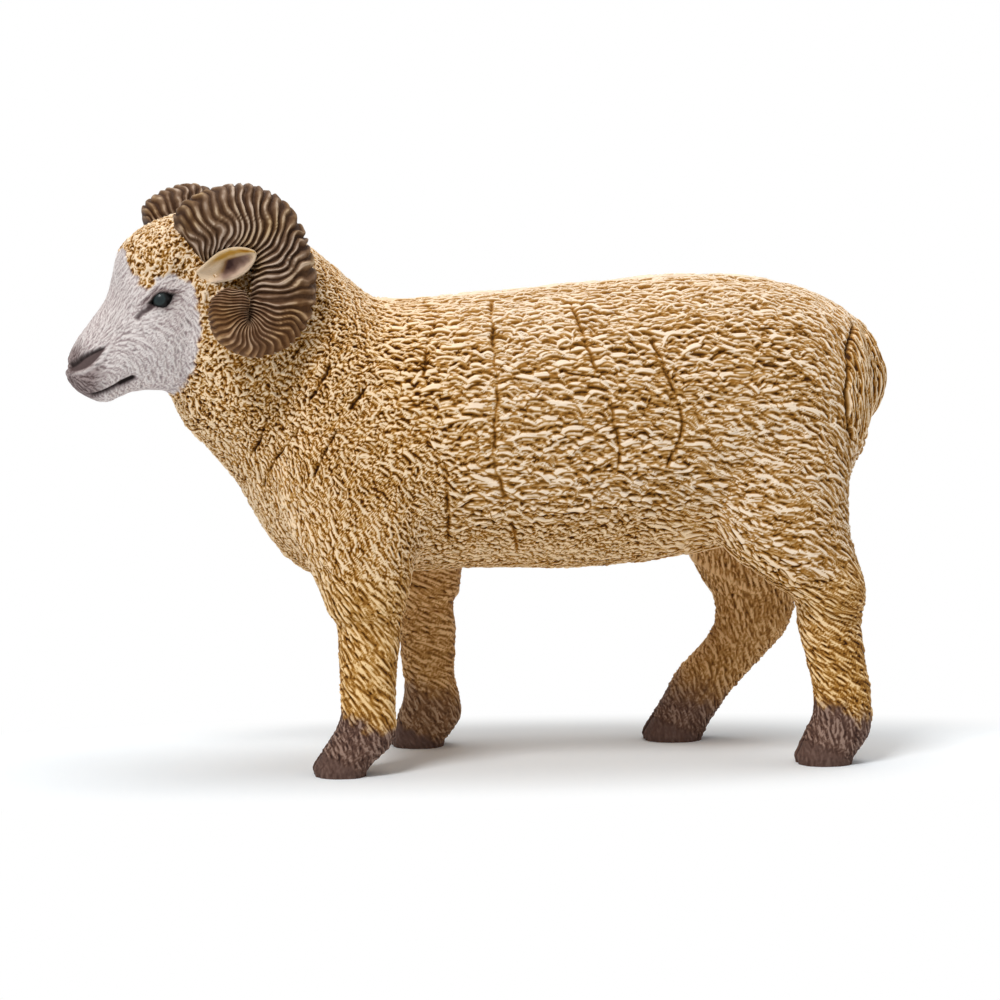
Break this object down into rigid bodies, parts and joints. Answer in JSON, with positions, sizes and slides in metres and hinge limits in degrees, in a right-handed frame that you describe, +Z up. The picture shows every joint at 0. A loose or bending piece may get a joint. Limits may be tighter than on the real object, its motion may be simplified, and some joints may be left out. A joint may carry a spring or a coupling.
{
  "type": "toy farm animal figure",
  "caption": "Moulded and painted toy ram with a curled fleece, ridged spiral horns and four separate hooves, standing with its head turned to its left.",
  "frame": {"origin": "middle of the figure's box, on the plane that the four hooves stand on", "axes": "+Z up, the ram faces -X, its left side is -Y"},
  "size_m": [0.1082, 0.0368, 0.0753],
  "materials": {
    "fleece": "matte moulded vinyl, golden wool with cream tips and brown in the creases",
    "face": "matte moulded vinyl, pale grey face with a mauve nose",
    "horn": "matte moulded vinyl, dry brushed taupe ridges over dark brown",
    "ear": "matte moulded vinyl, cream with a golden rim and a mauve hollow",
    "leg": "matte moulded vinyl, ochre hair fading to dark brown hooves"
  },
  "bodies": {
    "root": {"torso": "fleece", "tail": "fleece", "head": "face", "horn_left": "horn", "horn_right": "horn", "ear_left": "ear", "ear_right": "ear", "leg_front_left": "leg", "leg_front_right": "leg", "leg_rear_left": "leg", "leg_rear_right": "leg"}
  },
  "joints": []
}
